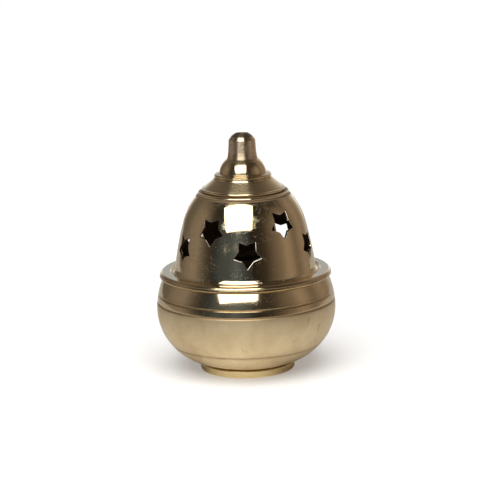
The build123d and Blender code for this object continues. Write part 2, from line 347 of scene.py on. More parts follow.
CONE_TOP_R, CONE_TOP_Z = 12.4, 82.5
DOME_TOP_R = 11.9
DOME_CEILING_R, DOME_CEILING_Z = 11.0, 81.7
STUD_HOLE_R = 4.25

# The ten stars, one point down: azimuth and height of the centre, and tilt in degrees anticlockwise.
STARS = [
    (-66, 54.9, -2), (2, 55.2, 0), (71.5, 55.0, -2), (142.5, 53.2, -4), (231, 54.4, 5),
    (-32.6, 63.9, 5), (39, 65.8, -2), (108, 64.9, 3), (187, 64.2, 6), (262, 65.1, -4),
]
WEAR = (0.3, 1.0, 0.2, 0.9, 0.8, 0.7, 0.6, 0.9, 1.0, 0.8)  # how worn each star's lips are
STAR_R, STAR_NOTCH = 6.25, 0.61  # reach of the points, and the inward corners' share of it
STAR_ROUND, STAR_EDGE_POINTS, STAR_CORNER_POINTS = 0.35, 9, 5
STAR_SEED, REACH_SPREAD, TURN_SPREAD = 100, 0.03, 1.5  # how unevenly the stars' corners are cut
STAR_INSET = 0.06  # the hole is this much smaller all round than the outline drawn
LIP_MIN, LIP_MAX = 0.05, 0.20  # size of a lip that is sharp or well worn
LIP_LEAN = 0.45  # how far the shading of a worn right-hand lip leans upwards
DENT, DENT_REACH, DENT_LIMIT = 0.05, 1.5, 6.0  # the skin sinks a little round each star
BAND_LOW, BAND_HIGH = 45.4, 73.4  # the stretch that holds the stars
BAND_FADE = 0.7  # dents fade out this near its ends
BAND_ROWS = 40
PATCH_MARGIN = 0.4  # least distance of a star from its patch's border, in cells of the grid
PATCH_R = 26.0  # about the dome's radius at the stars, which keeps a patch's proportions true
PATCH_CLEAR = 0.32  # least distance of a grid point from a star's outline


def centre_of(point, radius, elevation):
    """The centre of the arc that passes through point where its normal has that elevation."""
    return (point[0] - radius * cos(radians(elevation)), point[1] - radius * sin(radians(elevation)))


def on_arc(centre, radius, elevation):
    """The point of the arc about centre where its normal has that elevation."""
    return (centre[0] + radius * cos(radians(elevation)), centre[1] + radius * sin(radians(elevation)))


WALL_CENTRE = centre_of((DOME_WALL_R, DOME_WALL_Z), WALL_ARC, WALL_FROM)
CROWN_CENTRE = centre_of(on_arc(WALL_CENTRE, WALL_ARC, WALL_TO), CROWN_ARC, WALL_TO)


def dome_at(z, inset=0.0):
    """Radius and outward normal of the dome at a height, inset into its wall."""
    joint_z = on_arc(WALL_CENTRE, WALL_ARC - inset, WALL_TO)[1]
    centre, radius = (WALL_CENTRE, WALL_ARC) if z < joint_z else (CROWN_CENTRE, CROWN_ARC)
    nz = (z - centre[1]) / (radius - inset)
    nr = sqrt(1 - nz * nz)
    return centre[0] + (radius - inset) * nr, nr, nz


def dome_run(low, high, inset, count):
    """Points with their normals up or down the dome's outer skin, or its inner one where inset isn't 0."""
    side = -1 if inset else 1
    out = []
    for i in range(count + 1):
        z = low + (high - low) * i / count
        r, nr, nz = dome_at(z, inset)
        out.append((r, z, side * nr, side * nz))
    return out


def star_rim(tilt, wear, seed):
    """A hand-cut star in its own plane as (point, direction into the hole, size of its polished lip)."""
    draw = random.Random(seed)
    tips = []
    for k in range(10):
        reach = STAR_R * (1 + draw.uniform(-REACH_SPREAD, REACH_SPREAD)) * (1 if k % 2 == 0 else STAR_NOTCH)
        turn = radians(-90 + tilt + 36 * k + draw.uniform(-TURN_SPREAD, TURN_SPREAD))
        tips.append(Vector((reach * cos(turn), reach * sin(turn))))
    points = []
    for k, tip in enumerate(tips):
        a, b = tips[k - 1], tips[(k + 1) % 10]
        start = tip.lerp(a, STAR_ROUND / (tip - a).length)
        end = tip.lerp(b, STAR_ROUND / (b - tip).length)
        for j in range(STAR_CORNER_POINTS):
            t = j / (STAR_CORNER_POINTS - 1)
            points.append((1 - t) ** 2 * start + 2 * t * (1 - t) * tip + t * t * end)
        far_end = b.lerp(tip, STAR_ROUND / (b - tip).length)
        points += [end.lerp(far_end, j / STAR_EDGE_POINTS) for j in range(1, STAR_EDGE_POINTS)]
    rim = []
    for k, p in enumerate(points):
        along = points[(k + 1) % len(points)] - points[k - 1]
        into = Vector((-along.y, along.x)).normalized()
        # the polishing wheel rounds the right-hand and lower edges most
        worn = 0.3 - 0.75 * into.x + (0.6 * into.y if into.y > 0 else -0.15 * into.y)
        rim.append((p, into, (LIP_MIN + (LIP_MAX - LIP_MIN) * max(0.0, min(1.0, worn))) * wear))
    return rim


RIMS = [star_rim(star[2], wear, STAR_SEED + i) for i, (star, wear) in enumerate(zip(STARS, WEAR))]


def rim_ring(i, share):
    """Star i's outline, grown by that share of its lip."""
    return [p + into * (STAR_INSET - lip * share) for p, into, lip in RIMS[i]]


OUTER_RIMS = [rim_ring(i, 1.0) for i in range(len(STARS))]


def on_dome(star, p, inset):
    """The place on the dome, or inset in its wall, of a point of a star's plane, and the normal there."""
    z = star[1] + p.y
    r, nr, nz = dome_at(z, inset)
    return radians(star[0]) + asin(p.x / r), r, z, nr, nz


def place(azimuth, r, z):
    """A point from its azimuth, radius and height."""
    return (r * sin(azimuth), -r * cos(azimuth), z)


def dent(azimuth, z):
    """How far the outer skin is pressed in near a star, and its slope there, across and up."""
    nearest, slope = DENT_LIMIT, (0.0, 0.0)
    r = dome_at(z)[0]
    for star, rim in zip(STARS, OUTER_RIMS):
        turn = azimuth - radians(star[0])
        across, up = r * sin(turn), z - star[1]
        if cos(turn) < 0 or hypot(across, up) > STAR_R + DENT_LIMIT:
            continue
        for p in rim:
            d = hypot(across - p.x, up - p.y)
            if d < nearest:
                nearest, slope = d, ((across - p.x) / max(d, 1e-6), (up - p.y) / max(d, 1e-6))
    fade = max(0.0, min(1.0, (z - BAND_LOW) / BAND_FADE, (BAND_HIGH - z) / BAND_FADE))
    depth = DENT * exp(-nearest / DENT_REACH) * fade
    return depth, slope[0] * depth / DENT_REACH, slope[1] * depth / DENT_REACH


def star_band(inner):
    """The part of a skin that holds the stars: quads, and a patch of triangles round each star."""
    column, row = tau / TURNS, (BAND_HIGH - BAND_LOW) / BAND_ROWS
    inset, lip_share, side = (DOME_WALL, 0.0, -1) if inner else (0.0, 1.0, 1)
    verts, normals, faces, grid = [], [], [], {}

    def add(azimuth, z):
        r, nr, nz = dome_at(z, inset)
        depth, across, up = (0.0, 0.0, 0.0) if inner else dent(azimuth, z)
        out = Vector((nr * sin(azimuth), -nr * cos(azimuth), nz))
        out -= Vector((cos(azimuth), sin(azimuth), 0)) * across + Vector((0, 0, 1)) * up
        verts.append(place(azimuth, r - depth, z))
        normals.append(tuple(out.normalized() * side))
        return len(verts) - 1

    def knot(i, j):
        key = (i % TURNS, j)
        if key not in grid:
            grid[key] = add(key[0] * column, BAND_LOW + j * row)
        return grid[key]

    def face(corners):
        faces.append(tuple(corners[::-1] if inner else corners))

    taken = set()
    for k, star in enumerate(STARS):
        ring = [on_dome(star, p, inset)[:3:2] for p in rim_ring(k, lip_share)]
        across, up = [q[0] / column for q in ring], [(q[1] - BAND_LOW) / row for q in ring]
        left, right = floor(min(across) - PATCH_MARGIN), ceil(max(across) + PATCH_MARGIN)
        low, high = max(0, floor(min(up) - PATCH_MARGIN)), min(BAND_ROWS, ceil(max(up) + PATCH_MARGIN))
        cells = {(i % TURNS, j) for i in range(left, right) for j in range(low, high)}
        if cells & taken:
            raise ValueError("two stars' patches overlap")
        taken |= cells
        patch(ring, (left, right, low, high), (column, row), knot, add, face)
    for i in range(TURNS):
        for j in range(BAND_ROWS):
            if (i, j) not in taken:
                face((knot(i, j), knot(i + 1, j), knot(i + 1, j + 1), knot(i, j + 1)))
    return verts, normals, faces


def patch(ring, block, cell, knot, add, face):
    """Triangulates a block of the grid round one star."""
    left, right, low, high = block

    def flat(i, j):
        return Vector((i * cell[0] * PATCH_R, BAND_LOW + j * cell[1]))

    rim = [Vector((azimuth * PATCH_R, z)) for azimuth, z in ring]
    border = [(i, low) for i in range(left, right)] + [(right, j) for j in range(low, high)]
    border += [(i, high) for i in range(right, left, -1)] + [(left, j) for j in range(high, low, -1)]
    points = [flat(*q) for q in border] + rim
    index = [knot(*q) for q in border] + [add(*q) for q in ring]
    edges = loop_edges(0, len(border)) + loop_edges(len(border), len(rim))
    for i in range(left + 1, right):
        for j in range(low + 1, high):
            p = flat(i, j)
            if not inside_ring(p, rim) and min((p - q).length for q in rim) > PATCH_CLEAR:
                points.append(p)
                index.append(knot(i, j))
    placed, _, triangles, origin, _, _ = delaunay_2d_cdt(points, edges, [], 0, 1e-6)
    for triangle in triangles:
        centre = sum((placed[k] for k in triangle), Vector((0, 0))) / 3
        if not inside_ring(centre, rim):
            face([index[origin[k][0]] for k in triangle])


def loop_edges(first, count):
    """The edges of a closed loop of that many points, numbered from first."""
    return [(first + k, first + (k + 1) % count) for k in range(count)]


def inside_ring(p, ring):
    """Whether p lies inside a closed outline, by how often a ray from it crosses the outline."""
    hit = False
    for k, b in enumerate(ring):
        a = ring[k - 1]
        if (a.y > p.y) != (b.y > p.y) and p.x < a.x + (p.y - a.y) / (b.y - a.y) * (b.x - a.x):
            hit = not hit
    return hit


def star_walls(steps=4):
    """The cut walls of the stars: a rounded lip in steps inwards, then straight to the inner skin."""
    verts, normals, faces, edge = [], [], [], []
    for i, star in enumerate(STARS):
        a = radians(star[0])
        right = Vector((cos(a), sin(a), 0))
        layers = []
        for step in range(steps + 2):
            innermost = step > steps
            turn = pi / 2 if innermost else pi / 2 * step / steps
            layer = []
            for p, (_, into, lip) in zip(rim_ring(i, 1 - sin(turn)), RIMS[i]):
                depth = DOME_WALL if innermost else DENT + lip * (1 - cos(turn))
                lean = 0.0 if innermost else LIP_LEAN * WEAR[i] * max(0.0, -into.x)
                azimuth, r, z, nr, nz = on_dome(star, p, depth)
                wall = (right * into.x + Vector((0, 0, into.y + lean))).normalized()
                skin = Vector((nr * sin(azimuth), -nr * cos(azimuth), nz)) + wall * (DENT / DENT_REACH)
                layer.append(len(verts))
                verts.append(place(azimuth, r, z))
                normals.append(tuple((skin * cos(turn) + wall * sin(turn)).normalized()))
                edge.append(cos(turn))
            layers.append(layer)
        for upper, lower in zip(layers, layers[1:]):
            for k in range(len(upper)):
                after = (k + 1) % len(upper)
                faces.append((upper[k], upper[after], lower[after], lower[k]))
    return verts, normals, faces, edge


def turned_strip(points):
    """A turned strip whose columns line up with the star band's."""
    verts, normals, cavity, edge, faces = [], [], [], [], []
    for r, z, nr, nz, crease_shade, rub in points:
        for k in range(TURNS):
            azimuth = tau * k / TURNS
            verts.append(place(azimuth, r, z))
            normals.append((nr * sin(azimuth), -nr * cos(azimuth), nz))
        cavity += [crease_shade] * TURNS
        edge += [rub] * TURNS
    for low in range(0, (len(points) - 1) * TURNS, TURNS):
        high = low + TURNS
        for k in range(TURNS):
            after = (k + 1) % TURNS
            faces.append((low + k, low + after, high + after, high + k))
    return verts, normals, faces, cavity, edge


def dome_foot():
    """The dome's outer profile from its mouth, round the foot and the cove, up to the star band."""
    lip, cove_top = (DOME_FOOT_R, DOME_LOW + DOME_LIP), (DOME_WALL_R, DOME_WALL_Z)
    hollow = ((lip[0] + cove_top[0]) / 2 - 0.17, (lip[1] + cove_top[1]) / 2 - 0.12)
    return [
        corner(DOME_MOUTH_R, DOME_LOW, 0.06),
        corner(DOME_FOOT_R, DOME_LOW, 0.1),
        corner(*lip, 0.16),
        *arc_through(lip, hollow, cove_top, 12)[1:-1],
        corner(*cove_top, 0.15),
        *dome_run(DOME_WALL_Z + 0.2, BAND_LOW, 0, 1),
    ]


def dome_crown():
    """The outer profile above the star band: two beads with a groove under each, a cone and a flat top."""
    low_bead, high_bead = (arc(*bead, BEAD_R, *ends) for bead, ends in zip(BEADS, BEAD_ARCS))
    crown = dome_run(BAND_HIGH, CREASE_Z, 0, 6)
    crown += [corner(low_bead[0][0] - 0.05, low_bead[0][1] - 0.02, 0.06), *low_bead[1:-1]]
    crown += [corner(*BEAD_GROOVE, 0.04), *high_bead[1:-1], corner(*CONE_FOOT, 0.05)]
    for r, z in CONE_LINES:
        crown += [corner(r + 0.03, z - 0.02, 0.25), corner(r - 0.03, z + 0.02, 0.2)]
    return crown + [
        corner(CONE_TOP_R, CONE_TOP_Z, 0.3),
        corner(DOME_TOP_R + 0.25, DOME_TOP_Z - 0.25, 0.12),
        corner(DOME_TOP_R, DOME_TOP_Z, 0.1),
        corner(STUD_HOLE_R, DOME_TOP_Z, 0.05),
    ]


def dome_ceiling():
    """The inner profile from the stud's hole down to the star band."""
    r, z = on_arc(CROWN_CENTRE, CROWN_ARC - DOME_WALL, CROWN_TO)
    return [
        corner(STUD_HOLE_R, DOME_TOP_Z, 0.03),
        corner(STUD_HOLE_R, DOME_CEILING_Z, 0.05),
        corner(DOME_CEILING_R, DOME_CEILING_Z, 0.4),
        corner(r, z, 0.4),
        *dome_run(z - 0.6, BAND_HIGH, DOME_WALL, 6)[1:],
    ]


def dome_mouth():
    """The inner profile from the star band down to the mouth."""
    return [
        *dome_run(BAND_LOW, DOME_WALL_Z + 0.3, DOME_WALL, 2),
        corner(DOME_WALL_R - DOME_WALL + 0.02, DOME_WALL_Z, 0.3),
        corner(DOME_WALL_R - DOME_WALL, DOME_LOW, 0.06),
    ]


def crown_finish(a, b):
    """From a face's opposite corners: 0 polished, 1 the dark smoked finish as painted shade in the grooves by
    the beads, 3 turned cone.
    """
    z = (a[2] + b[2]) / 2
    r = (hypot(*a[:2]) + hypot(*b[:2])) / 2
    # the grooves by the beads take the dark smoked finish as painted shade
    if any(low < z < high and r < limit for low, high, limit in PAINTED_GROOVE_SHADE):
        return 1
    return 3 if z > CONE_FROM else 0


def make_dome():
    """The pierced dome. Finishes: 0 polished skin, 1 smoked inside and painted shade in the grooves by the
    beads, 2 filed star walls, 3 turned cone.
    """
    verts, normals, faces, cavity, edge, finishes = [], [], [], [], [], []

    def add(part, crease_shade, rub, finish):
        base = len(verts)
        verts.extend(part[0])
        normals.extend(part[1])
        faces.extend(tuple(base + k for k in face) for face in part[2])
        cavity.extend(crease_shade or [0.0] * len(part[0]))
        edge.extend(rub or [0.0] * len(part[0]))
        finishes.extend(finish)

    for nodes, inner in ((dome_foot(), 0), (dome_crown(), 0), (dome_ceiling(), 1), (dome_mouth(), 1)):
        *strip, crease_shade, rub = turned_strip(outline(nodes, closed=False))
        at = strip[0]
        add(strip, crease_shade, rub, [1 if inner else crown_finish(at[f[0]], at[f[2]]) for f in strip[2]])
    for inner in (0, 1):
        band = star_band(inner)
        add(band, None, None, [inner] * len(band[2]))
    *walls, rub = star_walls()
    add(walls, None, rub, [2] * len(walls[2]))
    return mesh_object("lid_dome_pierced", verts, faces, normals, cavity, edge, finishes)


dome = make_dome()

# ---------------------------------------------------------------- finial
TIP_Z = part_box("finial")[1].z / MM
TIP_R, VENT_R = 2.95, 2.5
STUD_R, STUD_Z = 4.2, 77.6
THREADS, THREAD_PITCH, THREAD_Z = 6, 0.4, 78.6
THREAD_ROOT_R = 4.02
FINIAL_BRIM_R, FINIAL_BRIM_Z = 12.2, DOME_TOP_Z + 1.2
BELL_FOOT_R, BELL_FOOT_Z = 9.9, FINIAL_BRIM_Z + 0.55
BELL_HOLLOW = (9.05, 87.85)  # a point half-way up its curve
BELL_TOP_R, BELL_TOP_Z = 6.8, 90.6
NOZZLE_CORNERS = ((6.4, 91.0, 0.12), (6.15, 92.2, 0.5), (5.93, 93.7, 0.6))  # radius, height, rounding
CAP_CORNERS = ((5.62, 98.85, 0.15), (4.55, 100.3, 0.5))
NOZZLE_FROM, CAP_FROM = 90.9, 98.95  # heights at which the finial's finish changes


def finial_points():
    bell = arc_through((BELL_FOOT_R, BELL_FOOT_Z), BELL_HOLLOW, (BELL_TOP_R, BELL_TOP_Z), 16)
    nodes = [
        corner(STUD_R, DOME_TOP_Z, 0.05),
        corner(FINIAL_BRIM_R - 0.4, DOME_TOP_Z, 0.1),
        corner(FINIAL_BRIM_R, DOME_TOP_Z + 0.4, 0.25),
        corner(FINIAL_BRIM_R, FINIAL_BRIM_Z - 0.45, 0.3),
        corner(FINIAL_BRIM_R - 0.5, FINIAL_BRIM_Z, 0.2),
        corner(BELL_FOOT_R + 0.3, FINIAL_BRIM_Z + 0.2, 0.15),
        corner(BELL_FOOT_R, BELL_FOOT_Z, 0.15),
        *bell[1:-1],
        corner(BELL_TOP_R, BELL_TOP_Z, 0.12),
        *(corner(*p) for p in (*NOZZLE_CORNERS, *CAP_CORNERS)),
        corner(TIP_R, TIP_Z, 0.14),
        corner(VENT_R, TIP_Z - 0.4, 0.12),
        corner(VENT_R, STUD_Z, 0.1),
        corner(STUD_R - 0.4, STUD_Z, 0.1),
        corner(STUD_R, STUD_Z + 0.4, 0.1),
    ]
    for i in range(THREADS):
        z = THREAD_Z + THREAD_PITCH * i
        nodes += [corner(STUD_R, z, 0.04), corner(THREAD_ROOT_R, z + THREAD_PITCH / 2, 0.04)]
    return outline(nodes)


def finial_finish(point):
    """0 polished bell, 1 vent and stud, 2 turned nozzle, 3 smoked cap."""
    r, z = point[:2]
    if r < STUD_R + 0.1 and z < TIP_Z - 0.3:
        return 1
    if z > CAP_FROM:
        return 3
    return 2 if z > NOZZLE_FROM else 0


finial = lathe("finial_turned", finial_points(), turns=FINIAL_TURNS, finish=finial_finish)

# ---------------------------------------------------------------- shader helpers


def new_material(name):
    material = bpy.data.materials.new(name)
    material.use_nodes = True
    return material, material.node_tree, material.node_tree.nodes["Principled BSDF"]


def node(nt, kind, inputs=(), **props):
    n = nt.nodes.new(kind)
    for name, value in props.items():
        setattr(n, name, value)
    for key, value in dict(inputs).items():
        if isinstance(value, bpy.types.NodeSocket):
            nt.links.new(value, n.inputs[key])
        else:
            n.inputs[key].default_value = value
    return n


def maths(nt, operation, a, b=0.0, clamp=False):
    return node(nt, "ShaderNodeMath", {0: a, 1: b}, operation=operation, use_clamp=clamp).outputs[0]


def times(nt, a, b, clamp=False):
    return maths(nt, "MULTIPLY", a, b, clamp)


def plus(nt, a, b, factor, clamp=False):
    """a + b * factor."""
    return maths(nt, "ADD", a, times(nt, b, factor), clamp)


def less_from_one(nt, value, factor):
    """1 - value * factor."""
    return maths(nt, "SUBTRACT", 1.0, times(nt, value, factor))


def scaled(nt, value, low, high, a=0.0, b=1.0):
    """value from low..high to a..b, held at the ends."""
    return node(nt, "ShaderNodeMapRange", {0: value, 1: low, 2: high, 3: a, 4: b}).outputs[0]


def mixed_value(nt, factor, a, b):
    """a where factor is 0, b where it is 1."""
    return maths(nt, "ADD", times(nt, a, less_from_one(nt, factor, 1.0)), times(nt, factor, b))


def mixed(nt, factor, a, b):
    """The colour a where factor is 0, b where it is 1."""
    a, b = (c if isinstance(c, bpy.types.NodeSocket) else (*c, 1.0) for c in (a, b))
    return node(nt, "ShaderNodeMix", {0: factor, 6: a, 7: b}, data_type="RGBA").outputs[2]


def noise(nt, vector, scale, detail, rough, distortion=0.0):
    return node(nt, "ShaderNodeTexNoise", {
        "Vector": vector, "Scale": scale, "Detail": detail, "Roughness": rough, "Distortion": distortion,
    }).outputs[0]


def contours(nt, vector, scale, detail, rough, width):
    """Thin lines where a noise passes through its middle value."""
    away = maths(nt, "ABSOLUTE", maths(nt, "SUBTRACT", noise(nt, vector, scale, detail, rough), 0.5))
    return scaled(nt, away, 0.0, width, 1.0, 0.0)


def combined(nt, x, y, z):
    return node(nt, "ShaderNodeCombineXYZ", {0: x, 1: y, 2: z}).outputs[0]


def turned_coordinates(nt):
    """The point, and its angle, radius and height in metres, so that marks can follow the lathe."""
    point = node(nt, "ShaderNodeTexCoord").outputs["Object"]
    x, y, z = node(nt, "ShaderNodeSeparateXYZ", {0: point}).outputs
    radius = maths(nt, "SQRT", plus(nt, times(nt, x, x), y, y))
    return point, maths(nt, "ARCTAN2", y, x), radius, z


def add_bump(nt, bsdf, height):
    bump = node(nt, "ShaderNodeBump", {"Strength": 1.0, "Distance": 1.0, "Height": height})
    nt.links.new(bump.outputs[0], bsdf.inputs["Normal"])


def shade(colour, share):
    return tuple(c * s for c, s in zip(colour, share))


# ---------------------------------------------------------------- brass
# base colours
PALE = (0.83, 0.665, 0.40)
# the foot's yellower brass, made lighter than the rest as painted light for the bright floor it mirrors
YELLOW = (1.0, 0.81, 0.45)
NOZZLE = (0.74, 0.57, 0.39)
# the finial's tip: smoke-darkened, and darker still as painted shade for the dark overhead it mirrors
SMOKED = (0.25, 0.195, 0.135)
SATIN = (0.81, 0.65, 0.40)
FILED = (0.88, 0.78, 0.60)
DARK_SHARE, DULL_SHARE = (0.42, 0.34, 0.26), (0.86, 0.82, 0.76)  # of the brass, in tarnished blotches and in the painted shade of concave corners, and in dull patches
DUST = (0.72, 0.75, 0.78)
SOOT = (0.018, 0.014, 0.011)
TURNED_HEIGHT, TOOL_HEIGHT, WAVE_HEIGHT = 0.00000035, 0.0000030, 0.00006  # reliefs in metres
SCRATCH_HEIGHT, SPECK_HEIGHT = -0.0000030, 0.000010


def hair_scratches(nt, point, angle, radius, z):
    """Fine lines round the piece and across it, only in patches."""
    along = combined(nt, times(nt, angle, 0.0035), radius, z)
    across = combined(nt, times(nt, angle, 0.05), times(nt, radius, 0.1), times(nt, z, 0.16))
    round_lines = contours(nt, along, 1100.0, 5.0, 0.62, 0.010)
    cross_lines = contours(nt, across, 1500.0, 4.0, 0.6, 0.008)
    where = scaled(nt, noise(nt, point, 150.0, 3.0, 0.6), 0.46, 0.62)
    return times(nt, maths(nt, "MAXIMUM", round_lines, cross_lines), where)


def dust_specks(nt, point):
    """Dust and pin-prick pits, thicker in some places than in others."""
    cell = node(nt, "ShaderNodeTexVoronoi", {"Vector": point, "Scale": 1900.0, "Randomness": 1.0})
    speck = scaled(nt, cell.outputs["Distance"], 0.08, 0.22, 1.0, 0.0)
    lot = node(nt, "ShaderNodeSeparateColor", {0: cell.outputs["Color"]}).outputs[0]
    drift = scaled(nt, noise(nt, point, 70.0, 2.0, 0.5), 0.39, 0.54)
    return times(nt, times(nt, speck, scaled(nt, lot, 0.42, 0.62)), drift)


def brass(name, colour, rough, turning, scratch, dust, mottle, crease_shade_strength, waves, aniso):
    """Turned and polished brass. From turning to waves, each number says how strong that kind of mark is; the
    darkening of concave corners among them is painted shade.
    """
    material, nt, bsdf = new_material(name)
    point, angle, radius, z = turned_coordinates(nt)
    ring = combined(nt, times(nt, angle, 0.0006), radius, z)
    cavity = node(nt, "ShaderNodeAttribute", attribute_name="cavity").outputs["Fac"]
    edge = node(nt, "ShaderNodeAttribute", attribute_name="edge").outputs["Fac"]

    fine = noise(nt, ring, 5200.0, 3.0, 0.7)
    coarse = noise(nt, ring, 900.0, 2.0, 0.5)
    wave = noise(nt, point, 42.0, 1.0, 0.4)
    patches = noise(nt, point, 75.0, 5.0, 0.62, 0.8)
    blotch = noise(nt, point, 240.0, 4.0, 0.6, 0.4)
    scratches = hair_scratches(nt, point, angle, radius, z)
    specks = dust_specks(nt, point)
    dark, dull = shade(colour, DARK_SHARE), shade(colour, DULL_SHARE)
    # painted shade: concave corners and creases darken towards the dark share of the colour
    crease_shade = times(nt, cavity, crease_shade_strength, True)
    base = mixed(nt, scaled(nt, patches, 0.42, 0.68, 0.0, mottle), colour, dull)
    base = mixed(nt, times(nt, scaled(nt, blotch, 0.60, 0.78), 0.5 * mottle), base, dark)
    base = mixed(nt, crease_shade, base, dark)
    base = mixed(nt, times(nt, specks, dust, True), base, DUST)
    nt.links.new(base, bsdf.inputs["Base Color"])
    nt.links.new(less_from_one(nt, specks, 0.7 * dust), bsdf.inputs["Metallic"])

    roughness = scaled(nt, fine, 0.3, 0.7, rough * 0.8, rough * 1.25)
    roughness = plus(nt, roughness, scaled(nt, patches, 0.4, 0.7), 0.10 * mottle)
    roughness = plus(nt, roughness, scratches, 0.22 * scratch)
    roughness = plus(nt, roughness, crease_shade, 0.25)
    roughness = plus(nt, roughness, specks, 0.5 * dust)
    roughness = plus(nt, roughness, edge, -0.04, True)
    nt.links.new(roughness, bsdf.inputs["Roughness"])

    height = times(nt, fine, TURNED_HEIGHT * turning)
    height = plus(nt, height, coarse, TOOL_HEIGHT * turning)
    height = plus(nt, height, wave, WAVE_HEIGHT * waves)
    height = plus(nt, height, scratches, SCRATCH_HEIGHT * scratch)
    height = plus(nt, height, specks, SPECK_HEIGHT * dust)
    add_bump(nt, bsdf, height)
    tangent = node(nt, "ShaderNodeTangent", direction_type="RADIAL", axis="Z")
    nt.links.new(tangent.outputs[0], bsdf.inputs["Tangent"])
    bsdf.inputs["Anisotropic"].default_value = aniso
    bsdf.inputs["Anisotropic Rotation"].default_value = 0.25
    return material


def sooty(name, colour, soot):
    """Brass that has been over embers: dark, dry patches over brown metal."""
    material, nt, bsdf = new_material(name)
    point, angle, radius, z = turned_coordinates(nt)
    ring = combined(nt, times(nt, angle, 0.0008), radius, z)
    patches = noise(nt, point, 110.0, 6.0, 0.65, 0.6)
    marks = noise(nt, ring, 2600.0, 3.0, 0.6)
    amount = scaled(nt, patches, 0.30, 0.62, soot * 0.55, soot)
    nt.links.new(mixed(nt, amount, colour, SOOT), bsdf.inputs["Base Color"])
    nt.links.new(less_from_one(nt, amount, 0.8), bsdf.inputs["Metallic"])
    roughness = plus(nt, scaled(nt, marks, 0.3, 0.7, 0.30, 0.42), amount, 0.38, True)
    nt.links.new(roughness, bsdf.inputs["Roughness"])
    add_bump(nt, bsdf, plus(nt, times(nt, marks, 0.000004), patches, 0.00006))
    return material


dome_brass = brass("dome_brass", PALE, rough=0.055, turning=0.25, scratch=1.3, dust=1.05,
                   mottle=0.15, crease_shade_strength=0.6, waves=0.25, aniso=0.2)
cone_brass = brass("cone_brass", PALE, rough=0.20, turning=1.6, scratch=0.3, dust=0.2,
                   mottle=0.2, crease_shade_strength=0.9, waves=0.2, aniso=0.85)
flange_brass = brass("flange_brass", PALE, rough=0.10, turning=0.5, scratch=0.5, dust=0.3,
                     mottle=0.2, crease_shade_strength=0.8, waves=0.3, aniso=0.5)
finial_brass = brass("finial_brass", PALE, rough=0.14, turning=1.0, scratch=0.4, dust=0.3,
                     mottle=0.25, crease_shade_strength=0.9, waves=0.2, aniso=0.85)
bowl_brass = brass("bowl_brass", PALE, rough=0.095, turning=0.4, scratch=0.7, dust=0.4,
                   mottle=0.3, crease_shade_strength=0.8, waves=0.35, aniso=0.3)
bowl_satin = brass("bowl_satin_brass", SATIN, rough=0.39, turning=0.5, scratch=0.7, dust=0.5,
                   mottle=0.9, crease_shade_strength=0.8, waves=0.4, aniso=0.2)
nozzle_brass = brass("nozzle_brass", NOZZLE, rough=0.265, turning=1.2, scratch=0.4, dust=0.3,
                     mottle=0.35, crease_shade_strength=0.9, waves=0.2, aniso=0.92)
cap_brass = brass("tip_brass", SMOKED, rough=0.38, turning=1.0, scratch=0.6, dust=0.5,
                  mottle=0.9, crease_shade_strength=1.0, waves=0.3, aniso=0.5)
foot_brass = brass("foot_brass", YELLOW, rough=0.33, turning=0.6, scratch=0.4, dust=0.2,
                   mottle=0.5, crease_shade_strength=0.9, waves=0.2, aniso=0.3)
filed_brass = brass("filed_brass", FILED, rough=0.14, turning=0.2, scratch=0.6, dust=0.0,
                    mottle=0.2, crease_shade_strength=0.0, waves=0.4, aniso=0.0)
smoked_lid = sooty("smoked_brass", (0.50, 0.34, 0.19), 0.5)
smoked_bowl = sooty("smoked_bowl", (0.45, 0.32, 0.17), 0.5)
cup_brass = sooty("cup_brass", (0.55, 0.41, 0.22), 0.5)
grate_brass = sooty("grate_brass", (0.42, 0.30, 0.17), 0.8)
hardware = sooty("hardware_brass", (0.58, 0.44, 0.25), 0.45)


# ---------------------------------------------------------------- pieces
def finish_piece(ob, body, cad, slot, *materials):
    for material in materials:
        ob.data.materials.append(material)
    ob.data.polygons.foreach_set("material_index", FINISHES[ob.name])
    ob.data.update()
    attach(ob, body)
    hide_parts(cad)


finish_piece(bowl, "base", "bowl", "bowl_brass", bowl_brass, smoked_bowl, bowl_satin)
finish_piece(foot, "base", "foot_ring", "foot_brass", foot_brass)
finish_piece(flange, "lid", "lid_flange_ring", "flange_brass", flange_brass, smoked_lid)
finish_piece(dome, "lid", "lid_dome", "dome_brass", dome_brass, smoked_lid, filed_brass, cone_brass)
finish_piece(finial, "lid", "finial", "finial_brass", finial_brass, smoked_lid, nozzle_brass, cap_brass)
CAD_FINISHES = {
    "finial_washer": hardware,
    "finial_nut": hardware,
    "ember_cup": cup_brass,
    "ember_grate": grate_brass,
}
for name, material in CAD_FINISHES.items():
    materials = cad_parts[name].data.materials
    materials.clear()
    materials.append(material)

# ---------------------------------------------------------------- floor
FLOOR_FRONT, FLOOR_BACK, FLOOR_SIDE = -0.21, 1.6, 0.40
CLOTH_DARK, CLOTH_LIGHT = (0.79, 0.785, 0.775), (0.93, 0.925, 0.915)  # the weave, as the camera sees it
CLOTH_NEAR, CLOTH_SHADED_ASIDE = (0.765, 0.76, 0.75), (0.46, 0.45, 0.44)  # as the brass mirrors it, darkened to the sides by painted shade
ASIDE_FROM, ASIDE_TO = 0.02, 0.14
PAINTED_POOL_CENTRE, PAINTED_POOL_FROM, PAINTED_POOL_TO = (-0.004, -0.024, 0.0), 0.010, 0.024  # a painted pool of light glowing on the floor in front of the foot
# glow of the painted pool in what the brass mirrors, and the even glow the camera sees
PAINTED_POOL_MIRRORED, GLOW_SEEN = 0.25, 0.26


